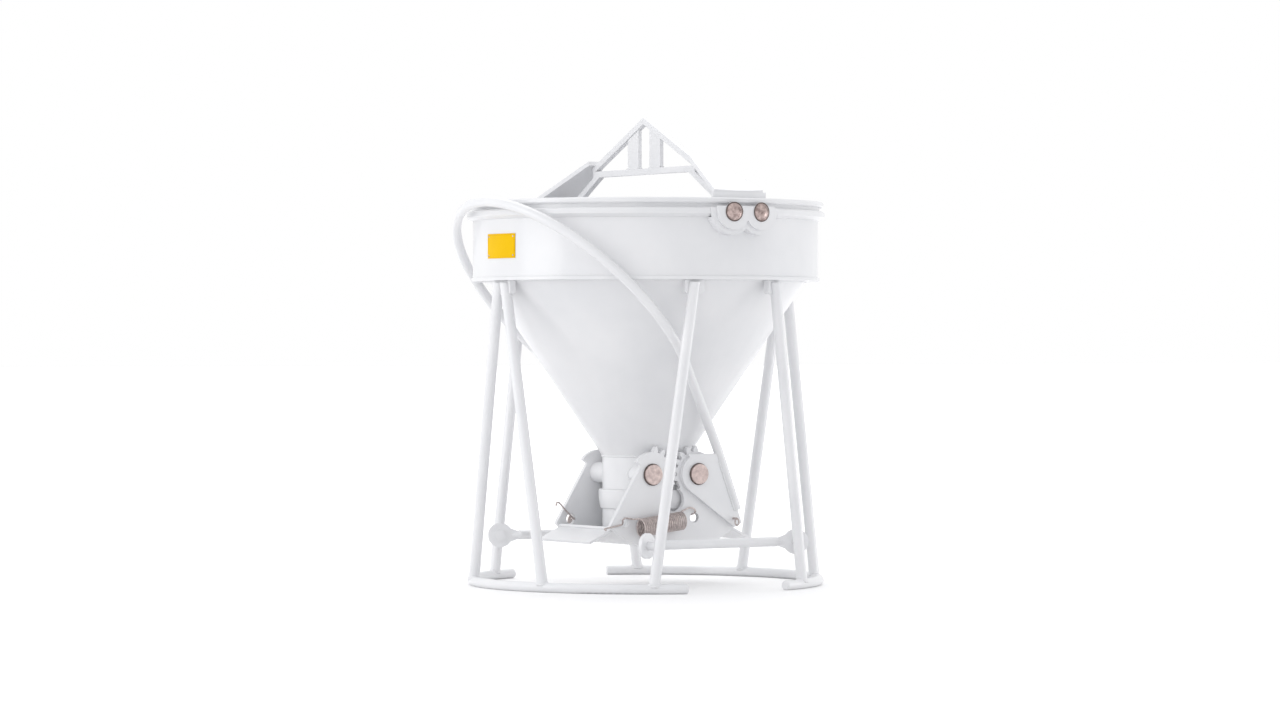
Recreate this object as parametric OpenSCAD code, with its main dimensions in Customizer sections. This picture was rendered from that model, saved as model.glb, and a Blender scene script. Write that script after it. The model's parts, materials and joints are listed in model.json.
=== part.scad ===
// Concrete bucket with a clamshell gate, a lever hoop, a lifting bail and an eight-legged stand.
// Millimetres. The origin is on the floor at the bucket's axis, +Z up.
// The gate's pivots lie along Y, the jaws open along X, and -Y is the front.

/* [Hopper] */
// Outer radius of the band
band_r = 776; // [750:1:800]
// Height of the band above its base ring
band_h = 324; // [280:1:360]
// Thickness of the sheet of band, cone and throat
sheet = 6; // [4:0.5:9]
// How far the cone's top lies inside the band's outside
ledge = 56; // [50:1:64]
// Height of the cone
cone_h = 782; // [740:1:820]
// Height of the cone's lower edge above the floor
cone_z = 578; // [560:1:620]
// Outer radius of the throat
throat_r = 194; // [184:1:200]
// Height of the base ring
ring_h = 16; // [12:1:22]
// How far the base ring stands out from the band
ring_lip = 6; // [3:1:10]
// How far the collar stands out from the throat
collar_t = 17; // [10:1:18]
// Height of the collar
collar_h = 86; // [60:1:100]
// Drop of the collar's top below the cone
collar_drop = 148; // [140:1:160]

/* [Rim] */
// How far the lower bead stands out from the band
bead_t = 29; // [22:1:34]
// Height of the lower bead
bead_h = 42; // [34:1:50]
// Height of the chamfer under the lower bead
bead_chamfer = 16; // [8:1:20]
// How far the upper flange stands out from the band
flange_t = 24; // [18:1:30]
// Height of the upper flange
flange_h = 25; // [18:1:32]
// Height of the groove between bead and flange
groove_h = 18; // [12:1:24]
// Thickness of the rim over the band's top edge
rim_cap = 15; // [10:1:18]

/* [Stand] */
// Radius of the foot rails' centre line
rail_r = 779; // [760:1:800]
// Diameter of the foot rails
rail_d = 44; // [38:1:48]
// Depth of the flat under the foot rails
rail_flat = 1; // [0.5:0.1:2]
// Half angle of the gaps between the foot rails
rail_gap = 19; // [12:1:22]
// Diameter of the legs
leg_d = 48; // [42:1:54]
// Angle of the front and rear legs' feet from the Y axis
end_foot = 30; // [27:1:36]
// Angle of the front and rear legs' tops from the Y axis
end_top = 16.2; // [14:0.1:19]
// Angle of the side legs' feet from the X axis
side_foot = 22.3; // [18:0.1:26]
// Distance between the tops of two side legs
side_top = 56; // [55:1:80]
// Thickness of the leg sockets' cap
socket_cap = 10; // [8:1:14]
// Height of the leg sockets
socket_h = 62; // [50:1:75]
// Width of a socket's cheek beside the leg
socket_cheek = 19; // [14:1:24]
// Depth of the leg sockets along the radius, inwards from the legs' centre lines
socket_d = 28; // [24:1:30]

/* [Braces] */
// Diameter of the brace rods
brace_d = 43; // [34:1:48]
// Height of the braces above the floor
brace_z = 206; // [180:1:260]
// Diameter of the brace eyes
eye_d = 112; // [96:1:124]
// Thickness of the brace eyes
eye_t = 16; // [12:1:22]
// Bend of the brace eyes out of the rod's line
eye_turn = 24; // [15:1:32]
// Length of the flare between eye and rod
eye_flare = 92; // [80:1:110]
// Gap between leg and brace eye
eye_gap = 33; // [20:1:40]
// Diameter of the brace studs
stud_d = 36; // [28:1:40]
// Diameter of the brace studs' heads
stud_head_d = 50; // [44:1:60]
// Height of the brace studs' heads
stud_head_h = 9; // [6:1:14]

/* [Gate] */
// Distance between the two pivot axes, which is the gears' centre distance
pivot_gap = 230; // [220:1:236]
// Drop of the pivot axes below the cone's lower edge
pivot_drop = 78; // [70:1:84]
// Outer radius of the jaw shells
jaw_r = 318; // [306:1:330]
// Thickness of the jaw shells
jaw_t = 12; // [8:1:14]
// Angle of the jaw shells' outer lip from straight down
jaw_lip = 42; // [38:1:44]
// Angle by which the jaw plates reach past the shells' lip
jaw_skirt = 2.5; // [1.5:0.1:3]
// Length of the aprons on the jaw shells' lips
apron_len = 130; // [100:1:150]
// Slope of the aprons
apron_slope = 25; // [15:1:35]
// Gap between throat and jaw shell
throat_gap = 8; // [4:1:14]
// Gap between throat and jaw plates
plate_gap = 21; // [19:1:30]
// Thickness of the jaw plates and lever plates
plate_t = 22; // [16:1:26]
// Radius of the jaw plates round the pivots
boss_r = 72; // [64:1:80]
// Radius of the window between the jaw plates
window_r = 52; // [40:1:56]
// Drop of the window's centre below the pivots
window_drop = 114; // [110:1:124]
// Teeth on a full gear of the jaw plates
gear_teeth = 18; // [18:2:22]
// Pressure angle of the gear teeth
gear_angle = 25; // [22:1:27]
// Play between meshing gear teeth
gear_play = 2; // [1.5:0.1:3]
// Diameter of the trunnions
trunnion_d = 95; // [84:1:104]
// Diameter of the pivot pins
pin_d = 50; // [40:1:60]
// Depth of the pivot pins in the trunnions
pin_depth = 36; // [26:1:40]
// Diameter of the pivot pins' heads
pin_head_d = 90; // [78:1:100]
// Height of the pivot pins' heads
pin_head_h = 14; // [10:1:18]

/* [Lever] */
// Diameter of the lever hoop's tube
lever_d = 43; // [38:1:46]
// Wall of the lever hoop's tube
lever_wall = 4; // [3:0.5:6]
// Gap between the lever hoop's far end and the rim
lever_clear = 18; // [15:1:40]
// Gap between the lever hoop's sides and the base ring
lever_side = 10; // [9:0.5:20]
// Drop of the lever hoop's far end below the rim's top
lever_drop = 10; // [0:1:30]
// Reach of the lever plates' upper corner from the pivot
lever_reach = 116; // [110:1:124]
// Height of the lever plates' upper edge above the pivot
lever_top = 90; // [88:1:98]
// Overlap of the hoop's tube on the lever plates
lever_lap = 270; // [240:1:285]
// Rise of the hoop's bends above the lever plates' corners
lever_rise = 20; // [18:1:24]
// Distance of the lever plates' tip from the pivot, outwards
lever_tip_x = 233; // [226:1:238]
// Distance of the lever plates' tip from the pivot, downwards
lever_tip_z = 223; // [216:1:230]
// Width of the lever plates' tip
lever_tip_w = 41; // [36:1:50]
// Radius of the lever plates round the pivot
lever_boss_r = 86; // [82:1:92]
// Diameter of the clip pins
clip_d = 10; // [8:1:14]
// Radius of the clip pins' rings
clip_ring_r = 15; // [12:1:18]

/* [Springs] */
// Outer diameter of the springs
spring_d = 85; // [75:1:92]
// Diameter of the spring wire
spring_wire = 9; // [7:0.5:10]
// Length of the springs' wound body
spring_len = 225; // [212:1:240]
// Length of the hook between the left hole's pin and the wound body
hook_lead = 32; // [24:1:48]
// Gap between the springs' outside and the left jaw plates
spring_gap = 8; // [5:1:14]
// Diameter of the spring holes
hole_d = 46; // [38:1:50]
// Distance of the left jaw's spring holes from the pivot, outwards
left_hole_x = 147; // [140:1:150]
// Distance of the left jaw's spring holes from the pivot, downwards
left_hole_z = 208; // [204:1:214]
// Distance of the right jaw's spring holes from the pivot, inwards
right_hole_x = 8; // [0:1:16]
// Distance of the right jaw's spring holes from the pivot, downwards
right_hole_z = 195; // [188:1:204]

/* [Bail] */
// Height of the bail's peak above the rim
bail_h = 384; // [340:1:420]
// Side of the bail's square bars
bail_bar = 28; // [24:1:32]
// Distance of the bail's shoulders from the axis
bail_shoulder = 428; // [400:1:450]
// Drop of the crossbar's centre below the shoulders
crossbar_drop = 17; // [14:1:20]
// Drop of the bail struts' lower ends below the rim
strut_drop = 96; // [80:1:110]
// Width of the hook plates
hook_plate_w = 90; // [70:1:110]
// Thickness of the hook plates
hook_plate_t = 19; // [14:1:24]
// Width of the slot between the hook plates
hook_slot = 90; // [70:1:120]
// Thickness of the bail's foot plates
foot_t = 20; // [14:1:24]
// Width of the foot plates at the shoulders
foot_top_w = 84; // [60:1:100]
// Width of the foot plates at the rim
foot_low_w = 276; // [240:1:300]
// Overlap of the foot plates on the bail's bars
foot_lap = 28; // [20:1:40]
// Drop of the foot plates' tabs below the rim's top
tab_drop = 130; // [118:1:150]

/* [Lugs and plate] */
// Thickness of the lugs' backing plates over the bead
backing_t = 8; // [5:1:12]
// Radius of the backing plates' lobes
backing_lobe = 100; // [92:1:106]
// Thickness of the lugs' outer plates
lug_t = 12; // [8:1:16]
// Radius of the outer plates' lobes
lug_lobe = 78; // [66:1:86]
// Distance between a lug's two rivets
rivet_gap = 140; // [124:1:150]
// Drop of the rivets below the rim's top
rivet_drop = 62; // [56:1:68]
// Diameter of the rivet heads
rivet_head_d = 80; // [64:1:90]
// Height of the rivet heads
rivet_head_h = 20; // [14:1:26]
// Diameter of the rivet shanks
rivet_d = 30; // [22:1:34]
// Diameter of the rivets' inner heads
rivet_inner_d = 48; // [42:1:56]
// Height of the rivets' inner heads
rivet_inner_h = 10; // [6:1:14]
// Width of the data plate round the band
data_w = 220; // [180:1:260]
// Height of the data plate
data_h = 108; // [90:1:130]
// Thickness of the data plate
data_t = 3; // [2:0.5:5]
// Drop of the data plate's centre below the rim's top
data_drop = 204; // [190:1:220]
// Turn of the data plate from the left side towards the front
data_turn = 2; // [0:1:10]

/* [Fits] */
// Gap between seated pieces and between the two jaws' edges
fit = 0.3; // [0.2:0.05:0.3]
// Radial running clearance of the pivot pins
run = 0.06; // [0.03:0.01:0.1]

/* [Hidden] */
$fn = 96;

// Paint and metal colours
paint = [0.95, 0.95, 0.96];
copper = [0.75, 0.6, 0.52];
steel = [0.42, 0.37, 0.33];
yellow = [0.96, 0.78, 0.1];

// A length that reaches past the whole object
far = 4000;
// How far a cutting solid reaches past the face that it cuts
over = 1;

// Heights of the hopper, from the floor up
ring_z = cone_z + cone_h;
band_z = ring_z + ring_h;
band_top = band_z + band_h;
rim_top = band_top + rim_cap;
flange_z = rim_top - flange_h;
groove_z = flange_z - groove_h;
bead_z = groove_z - bead_h;
rivet_z = rim_top - rivet_drop;
// Radii of the hopper
band_in = band_r - sheet;
cone_top_r = band_r - ledge;
cone_wall = sheet / cos(atan2(cone_top_r - throat_r, cone_h));
bead_r = band_r + bead_t;
edge_round = flange_h / 4;

// The stand
rail_z = rail_d / 2 - rail_flat;
leg_top_r = band_r - leg_d / 2;
leg_top_z = ring_z - socket_cap;
side_turn = asin(side_top / 2 / leg_top_r);
cope_lap = rail_d / 4;
// Angles of the feet and tops of the eight legs, from the X axis
front_left = [270 - end_foot, 270 - end_top];
front_right = [270 + end_foot, 270 + end_top];
rear_left = [90 + end_foot, 90 + end_top];
rear_right = [90 - end_foot, 90 - end_top];
left_front = [180 + side_foot, 180 + side_turn];
left_rear = [180 - side_foot, 180 - side_turn];
right_front = [-side_foot, -side_turn];
right_rear = [side_foot, side_turn];

// The gate
pivot_x = pivot_gap / 2;
pivot_z = cone_z - pivot_drop;
plate_y = throat_r + plate_gap;
lever_y = plate_y + plate_t;
// Angle round the pivot at which the lever plates' upper edge ends
lever_back = 128;
tip_angle = jaw_lip + jaw_skirt;
edge_turn = acos(boss_r / jaw_r);
// Angle by which the aprons start inside the shells' lip
apron_root = 3;
gear_module = pivot_gap / gear_teeth;
gear_addendum = 0.9;
gear_dedendum = 1.1;
gear_from = 35;
gear_to = 215;
gear_base = pivot_x * cos(gear_angle);
gear_tip = pivot_x + gear_addendum * gear_module;
gear_root = pivot_x - gear_dedendum * gear_module;
gear_pitch = 360 / gear_teeth;
rad = 180 / PI;
gear_half = gear_pitch / 4 + (tan(gear_angle) - gear_angle / rad) * rad - gear_play / 4 / pivot_x * rad;
gear_roll = sqrt(pow(gear_tip / gear_base, 2) - 1) * rad;
gear_steps = 5;
// Teeth of each jaw, counted from the line between the pivots up
left_teeth = [-1, 0, 1, 2, 3, 4];
right_teeth = [-0.5, 0.5, 1.5, 2.5, 3.5, 4.5];

// The lever hoop: its bow lies in one sloping plane through the lever plates' corners
hoop_y = lever_y + plate_t / 2;
lever_edge = unit([lever_reach - lever_tip_x, lever_top + lever_tip_z]);
hoop_corner = [pivot_x + lever_reach, pivot_z + lever_top] + lever_edge * lever_rise;
hoop_end = [-(bead_r + lever_clear + lever_d / 2), rim_top - lever_drop];
hoop_run = hoop_corner - hoop_end;
hoop_slope = atan2(-hoop_run[1], hoop_run[0]);
// The bow passes the base ring's middle at this distance down the slope from the far end
ring_pass = (hoop_end[1] - ring_z - ring_h / 2) / sin(hoop_slope);
ring_pass_r = band_r + ring_lip + lever_side + lever_d / 2;
ring_pass_y = sqrt(pow(ring_pass_r, 2) - pow(hoop_end[0] + ring_pass * cos(hoop_slope), 2));
lever_bow_r = (pow(ring_pass_y, 2) + pow(ring_pass, 2)) / 2 / ring_pass;
hoop_back = norm(hoop_run) - lever_bow_r;
hoop_dist = norm([hoop_back, hoop_y]);
hoop_half = 180 - atan2(hoop_y, hoop_back) - acos(lever_bow_r / hoop_dist);
// Bow and bend of the hoop's front arm, from the bow's end down to the lever plate
hoop_touch = hoop_point([each polar(lever_bow_r, hoop_half), 0]);
hoop_bend = [hoop_corner[0], -hoop_y, hoop_corner[1]];
hoop_up = unit(hoop_touch - hoop_bend);
hoop_down = [-lever_edge[0], 0, -lever_edge[1]];
hoop_turn = 180 - acos(hoop_up * hoop_down);
hoop_bend_r = lever_rise / tan(hoop_turn / 2);
hoop_centre = hoop_bend + unit(hoop_up + hoop_down) * hoop_bend_r / cos(hoop_turn / 2);

// The springs, each in a frame that runs from its left hole to its right hole
left_hole = [-(pivot_x + left_hole_x), pivot_z - left_hole_z];
right_hole = [pivot_x - right_hole_x, pivot_z - right_hole_z];
hole_run = right_hole - left_hole;
hole_dist = norm(hole_run);
hole_slope = atan2(hole_run[1], hole_run[0]);
spring_y = lever_y + spring_gap + spring_d / 2;
hook_in = (hole_d - spring_wire) / 2 - fit;

// The bail
peak_z = rim_top + bail_h;
bail_end_y = band_in - foot_t;
bail_slope = atan2(bail_h - bail_bar / 2, bail_end_y);
peak_mid = peak_z - bail_bar / 2 / cos(bail_slope);
crossbar_z = bail_mid_z(bail_shoulder) - crossbar_drop;
strut_z = rim_top - strut_drop;

// Lugs
lug_r = bead_r + backing_t;
rivet_turn = asin(rivet_gap / 2 / lug_r);

function polar(r, angle) = [r * cos(angle), r * sin(angle)];
function unit(v) = v / norm(v);
function bail_mid_z(y) = peak_mid - y * tan(bail_slope);
function foot_point(leg) = [each polar(rail_r, leg[0]), rail_z];
function top_point(leg) = [each polar(leg_top_r, leg[1]), leg_top_z];
function leg_point(leg, z) = let (f = foot_point(leg), t = top_point(leg))
    f + (t - f) * (z - f[2]) / (t[2] - f[2]);
function tooth_flank(side) = [
    for (i = [0 : gear_steps])
        let (roll = gear_roll * i / gear_steps)
        polar(gear_base * sqrt(1 + pow(roll / rad, 2)), side * (gear_half - roll + atan(roll / rad)))
];
// Point of the bow's plane, from its centre with +X up the slope, as a point of the object
function hoop_point(p) = [
    hoop_end[0] + (lever_bow_r - p[0]) * cos(hoop_slope) + p[2] * sin(hoop_slope), -p[1],
    hoop_end[1] - (lever_bow_r - p[0]) * sin(hoop_slope) + p[2] * cos(hoop_slope)
];
function reversed(list) = [for (i = [len(list) - 1 : -1 : 0]) list[i]];

// Cylinder between two points, its seam turned away from the plane in which it leans
module bar(from, to, d) {
    run_v = to - from;
    translate(from)
        rotate([0, acos(run_v[2] / norm(run_v)), atan2(run_v[1], run_v[0])])
            rotate([0, 0, 45]) cylinder(d = d, h = norm(run_v));
}

// Child drawn for the front, mirrored for the rear
module facing(front) {
    mirror([0, front ? 0 : 1, 0]) children();
}

// Outline in the XZ plane, made into a plate from the distance y outwards to the front
module plate(y, t) {
    rotate([90, 0, 0]) translate([0, 0, y]) linear_extrude(t) children();
}

// Child drawn about the right jaw's pivot, mirrored for the left jaw
module jaw(right) {
    mirror([right ? 0 : 1, 0, 0]) translate([pivot_x, 0, pivot_z]) children();
}

// Cylinder along the radius at an angle and height
module radial(angle, z, from, to, d) {
    rotate([0, 0, angle]) translate([from, 0, z]) rotate([0, 90, 0]) cylinder(d = d, h = to - from);
}

// Ring between two radii and two heights
module ring(inner, outer, z, h) {
    translate([0, 0, z]) difference() {
        cylinder(r = outer, h = h);
        translate([0, 0, -over]) cylinder(r = inner, h = h + 2 * over);
    }
}

// Hopper
module rivet_holes() {
    for (side = [90, 270], turn = [-rivet_turn, rivet_turn])
        radial(side + turn, rivet_z, band_in / 2, far / 2, rivet_d + 2 * fit);
}

module band() {
    color(paint) difference() {
        ring(band_in, band_r, band_z, band_h);
        rivet_holes();
    }
}

module rim_profile(gap) {
    in = band_r + gap;
    polygon([
        [in, bead_z], [bead_r - bead_chamfer / 2, bead_z + bead_chamfer / 2],
        [bead_r, bead_z + bead_chamfer], [bead_r, groove_z - edge_round], [bead_r - edge_round, groove_z],
        [band_r + edge_round, groove_z], [band_r + edge_round, flange_z],
        [band_r + flange_t - edge_round, flange_z], [band_r + flange_t, flange_z + edge_round],
        [band_r + flange_t, rim_top - edge_round], [band_r + flange_t - edge_round, rim_top],
        [band_in, rim_top], [band_in, band_top], [in, band_top]
    ]);
}

module rim() {
    color(paint) difference() {
        rotate_extrude() rim_profile(fit);
        rivet_holes();
    }
}

module base_ring() {
    color(paint) ring(cone_top_r - cone_wall, band_r + ring_lip, ring_z, ring_h);
}

module cone() {
    color(paint) rotate_extrude() polygon([
        [throat_r - cone_wall, cone_z], [throat_r, cone_z],
        [cone_top_r, ring_z], [cone_top_r - cone_wall, ring_z]
    ]);
}

module throat() {
    color(paint) intersection() {
        ring(throat_r - sheet, throat_r, 0, cone_z);
        union() for (right = [false, true])
            jaw(right) rotate([90, 0, 0]) cylinder(r = jaw_r - jaw_t - throat_gap, h = far, center = true);
    }
}

module throat_collar() {
    top = cone_z - collar_drop;
    in = throat_r + fit;
    color(paint) rotate_extrude() polygon([
        [in, top - collar_h], [in + collar_t / 2, top - collar_h],
        [throat_r + collar_t, top - collar_h / 2], [throat_r + collar_t, top - collar_t / 4],
        [throat_r + collar_t * 3 / 4, top], [in, top]
    ]);
}

// Stand
module rail(from) {
    color(paint) difference() {
        translate([0, 0, rail_z]) rotate([0, 0, from + rail_gap]) rotate_extrude(angle = 180 - 2 * rail_gap)
            translate([rail_r, 0]) circle(d = rail_d);
        translate([-far / 2, -far / 2, -far]) cube([far, far, far]);
    }
}

module leg_bar(leg, d) {
    bar(leg_point(leg, 0), leg_point(leg, ring_z + leg_d), d);
}

module leg(leg) {
    low = rail_z + rail_d / 2 - cope_lap;
    color(paint) difference() {
        intersection() {
            leg_bar(leg, leg_d);
            translate([-far / 2, -far / 2, low]) cube([far, far, leg_top_z - low]);
        }
        translate(foot_point(leg)) rotate([0, 0, leg[0]]) rotate([90, 0, 0])
            cylinder(d = rail_d + 4 * fit, h = 2 * leg_d, center = true);
    }
}

// Socket under the base ring, its width counted round the legs' tops
module socket(angle, w, legs) {
    round = socket_cheek * 3 / 4;
    corner = [for (a = [270 : 22.5 : 360]) [w / 2 - round, round - socket_h] + polar(round, a)];
    difference() {
        rotate([0, 0, angle]) translate([leg_top_r - socket_d, 0, ring_z - fit])
            rotate([90, 0, 90]) linear_extrude(socket_d) polygon([
                each corner, [w / 2, 0], [-w / 2, 0], for (point = reversed(corner)) [-point[0], point[1]]
            ]);
        intersection() {
            for (leg = legs) leg_bar(leg, leg_d + 2 * fit);
            translate([-far / 2, -far / 2, 0]) cube([far, far, leg_top_z]);
        }
    }
}

module leg_sockets() {
    single = leg_d + 2 * socket_cheek;
    color(paint) {
        for (leg = [front_left, front_right, rear_left, rear_right]) socket(leg[1], single, [leg]);
        socket(180, single + side_top, [left_front, left_rear]);
        socket(0, single + side_top, [right_front, right_rear]);
    }
}

// Frame of the right end of the front brace: the stud's line is Y, and the rod lies towards -X
module brace_end(side) {
    at = leg_point(front_right, brace_z);
    mirror([side < 0 ? 1 : 0, 0, 0]) translate(at) rotate([0, 0, -eye_turn]) children();
}

module brace_eye() {
    r = eye_d / 2;
    neck_r = brace_d / 3;
    lap = brace_d / 2 * tan(eye_turn / 2);
    translate([0, leg_d / 2 + eye_gap + eye_t, 0]) rotate([90, 0, 0]) linear_extrude(eye_t) difference() {
        union() {
            circle(r = r);
            polygon([[0, -r + neck_r / 2], [0, r - neck_r / 2], [-eye_flare, neck_r], [-eye_flare, -neck_r]]);
        }
        circle(d = stud_d + 2 * fit);
    }
    translate([-eye_flare - lap, leg_d / 2 + eye_gap + eye_t / 2, 0]) rotate([0, 90, 0])
        cylinder(d1 = brace_d - 2 * over, d2 = eye_t - 2 * over, h = lap + eye_flare / 2);
}

// Rod between the two bends, each with a forged taper that runs out in its eye
module brace(front) {
    at = leg_point(front_right, brace_z);
    off = leg_d / 2 + eye_gap + eye_t / 2;
    lap = [brace_d / 2 * tan(eye_turn / 2), 0, 0];
    bend = [
        at[0] + off * sin(eye_turn) - eye_flare * cos(eye_turn),
        at[1] + off * cos(eye_turn) + eye_flare * sin(eye_turn),
        brace_z
    ];
    color(paint) facing(front) {
        for (side = [-1, 1]) brace_end(side) brace_eye();
        bar([-bend[0], bend[1], bend[2]] - lap, bend + lap, brace_d);
    }
}

module brace_studs() {
    eye_face = leg_d / 2 + eye_gap + eye_t;
    color(paint) for (front = [true, false], side = [-1, 1]) facing(front) difference() {
        brace_end(side) rotate([-90, 0, 0]) {
            cylinder(d = stud_d, h = eye_face + fit + stud_head_h);
            translate([0, 0, eye_face]) cylinder(d = stud_head_d, h = stud_head_h);
        }
        mirror([side < 0 ? 1 : 0, 0, 0]) leg_bar(front_right, leg_d + 2 * fit);
    }
}

// Gate
module trunnions(right) {
    outer = plate_y - fit;
    color(paint) difference() {
        for (front = [true, false]) facing(front) jaw(right) difference() {
            rotate([90, 0, 0]) cylinder(d = trunnion_d, h = outer);
            rotate([90, 0, 0]) translate([0, 0, outer - pin_depth]) cylinder(d = pin_d + 2 * run, h = far);
        }
        cylinder(r = throat_r + fit, h = far);
    }
}

module pivot_pins(right) {
    face = (right ? lever_y + plate_t : lever_y) + fit;
    foot = plate_y - fit - pin_depth;
    color(copper) for (front = [true, false]) facing(front) jaw(right) rotate([90, 0, 0]) {
        translate([0, 0, foot]) cylinder(d = pin_d, h = face + pin_head_h / 2 - foot);
        translate([0, 0, face]) cylinder(d = pin_head_d, h = pin_head_h);
    }
}

module gear(teeth) {
    sector = [for (angle = [gear_from : 15 : gear_to]) polar(2 * gear_tip, angle)];
    intersection() {
        circle(r = gear_root);
        polygon([[0, 0], each sector]);
    }
    for (tooth = teeth) rotate(180 - tooth * gear_pitch) polygon([
        [0, 0], polar(gear_root, -gear_half), each tooth_flank(-1),
        each reversed(tooth_flank(1)), polar(gear_root, gear_half)
    ]);
}

// Outline of a jaw plate about its pivot, its outer side towards +X
module jaw_outline(teeth, hole) {
    inner = fit / 2 - pivot_x;
    tip = polar(jaw_r, tip_angle - 90);
    difference() {
        union() {
            circle(r = boss_r);
            intersection() {
                circle(r = jaw_r);
                polygon([
                    [0, 0], polar(gear_root, gear_to), [inner, -window_drop], [inner, -far],
                    [tip[0], -far], tip, polar(boss_r, tip_angle - 90 + edge_turn)
                ]);
            }
            gear(teeth);
        }
        circle(d = pin_d + 2 * run);
        translate([inner, -window_drop]) circle(r = window_r);
        translate(hole) circle(d = hole_d);
    }
}

function clip_at() = [lever_tip_x - lever_tip_w - clip_d / 2, -lever_tip_z + lever_tip_w / 2];

module jaw_plate(right, front) {
    hole = right ? [-right_hole_x, -right_hole_z] : [left_hole_x, -left_hole_z];
    color(paint) facing(front) jaw(right) plate(plate_y, plate_t) difference() {
        jaw_outline(right ? right_teeth : left_teeth, hole);
        if (right) translate(clip_at()) circle(d = clip_d + 2 * fit);
    }
}

module jaw_shell(right) {
    inner = fit / 2 - pivot_x;
    color(paint) jaw(right) plate(-plate_y, 2 * plate_y) union() {
        intersection() {
            difference() {
                circle(r = jaw_r);
                circle(r = jaw_r - jaw_t);
            }
            polygon([[inner, 0], [inner, -far], polar(far, jaw_lip - 90), [0, 0]]);
        }
        translate(polar(jaw_r - jaw_t / 2, jaw_lip - apron_root - 90)) rotate(-apron_slope)
            translate([0, -jaw_t / 2]) square([apron_len, jaw_t]);
    }
}

// Lever
module lever_outline() {
    tip = [lever_tip_x, -lever_tip_z];
    corner = [lever_reach, lever_top];
    tip_run = unit([-lever_tip_w, -lever_tip_w / 2]) * lever_tip_w;
    low = tip + tip_run;
    touch = atan2(low[1], low[0]) - acos(lever_boss_r / norm(low));
    union() {
        circle(r = lever_boss_r);
        polygon([
            corner, [lever_boss_r * cos(lever_back), lever_top], [0, 0], polar(lever_boss_r, touch), low, tip
        ]);
    }
}

module lever_plate(front) {
    color(paint) facing(front) jaw(true) plate(lever_y, plate_t) difference() {
        lever_outline();
        circle(d = pin_d + 2 * run);
        translate(clip_at()) circle(d = clip_d + 2 * fit);
    }
}

// Child drawn in the bow's plane: +X runs up the slope to the hoop's far end
module bow_plane() {
    translate([hoop_end[0], 0, hoop_end[1]]) rotate([0, hoop_slope, 0]) rotate([0, 0, 180])
        translate([-lever_bow_r, 0, 0]) children();
}

// Bend of the front arm between its straight and its tail
module hoop_elbow() {
    x = unit(hoop_bend + hoop_down * lever_rise - hoop_centre);
    z = unit(cross(x, hoop_bend + hoop_up * lever_rise - hoop_centre));
    y = cross(z, x);
    c = hoop_centre;
    multmatrix([[x[0], y[0], z[0], c[0]], [x[1], y[1], z[1], c[1]], [x[2], y[2], z[2], c[2]], [0, 0, 0, 1]])
        rotate_extrude(angle = hoop_turn) translate([hoop_bend_r, 0]) circle(d = lever_d);
}

// Straight stretches are a little thinner than the bends that they run into
module hoop_arm() {
    thin = lever_d - fit;
    top = hoop_bend + hoop_down * lever_rise;
    difference() {
        bar(hoop_bend + hoop_up * (lever_rise - over), hoop_touch + hoop_up * over, thin);
        bar(
            hoop_bend + hoop_up * (lever_rise + lever_wall), hoop_touch - hoop_up * lever_wall,
            thin - 2 * lever_wall
        );
    }
    difference() {
        union() {
            hoop_elbow();
            bar(top - hoop_down * over, top + hoop_down * lever_lap, thin);
        }
        jaw(true) plate(lever_y - fit, plate_t + 2 * fit) translate([fit, fit]) lever_outline();
    }
}

module lever_hoop() {
    color(paint) union() {
        bow_plane() rotate([0, 0, -hoop_half]) rotate_extrude(angle = 2 * hoop_half)
            translate([lever_bow_r, 0]) difference() {
                circle(d = lever_d);
                circle(d = lever_d - 2 * lever_wall);
            }
        for (front = [true, false]) facing(front) hoop_arm();
    }
}

module clip_pins() {
    long = 2 * plate_t + 2 * clip_d + clip_ring_r;
    color(steel) for (front = [true, false]) facing(front) jaw(true)
        translate([clip_at()[0], 0, clip_at()[1]]) rotate([90, 0, 0]) {
            translate([0, 0, plate_y - clip_d / 2]) cylinder(d = clip_d, h = long);
            translate([0, -clip_ring_r, plate_y - clip_d / 2 + long]) rotate([0, 90, 0])
                rotate_extrude() translate([clip_ring_r, 0]) circle(d = clip_d * 2 / 3);
        }
}

// Spring as a plain body on a rod, with a pin through the hole at each end
module spring(front) {
    color(steel) facing(front) translate([left_hole[0], -spring_y, left_hole[1]]) rotate([0, -hole_slope, 0]) {
        translate([hook_in + hook_lead, 0, 0]) rotate([0, 90, 0]) cylinder(d = spring_d, h = spring_len);
        translate([hook_in, 0, 0]) rotate([0, 90, 0])
            cylinder(d = spring_wire - fit, h = hole_dist - 2 * hook_in);
        for (at = [hook_in, hole_dist - hook_in]) translate([at, -spring_wire / 2, 0]) rotate([-90, 0, 0])
            cylinder(d = spring_wire, h = spring_y - plate_y + spring_wire * 3 / 2);
    }
}

// Bail: outlines in the YZ plane
module bail_outline() {
    half = bail_bar / 2;
    lift = half / cos(bail_slope);
    side = [half * sin(bail_slope), half * cos(bail_slope)];
    shoulder = [bail_shoulder, bail_mid_z(bail_shoulder)];
    low = shoulder - side;
    high = shoulder + side;
    strut_from = [bail_shoulder - 2 * bail_bar, crossbar_z];
    strut_to = [band_in, strut_z];
    strut_run = unit(strut_to - strut_from);
    strut_side = [-strut_run[1], strut_run[0]] * half;
    polygon([low, high, [0, peak_mid + lift], [-high[0], high[1]], [-low[0], low[1]], [0, peak_mid - lift]]);
    translate([-low[0], crossbar_z - half]) square([2 * low[0], bail_bar]);
    strut = [strut_from - strut_side, strut_to - strut_side, strut_to + strut_side, strut_from + strut_side];
    polygon(strut);
    polygon([for (i = [3 : -1 : 0]) [-strut[i][0], strut[i][1]]]);
}

module bail_frame() {
    color(paint) intersection() {
        rotate([90, 0, 90]) linear_extrude(bail_bar, center = true) union() bail_outline();
        cylinder(r = band_in - foot_t - 2 * fit, h = far);
    }
}

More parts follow.
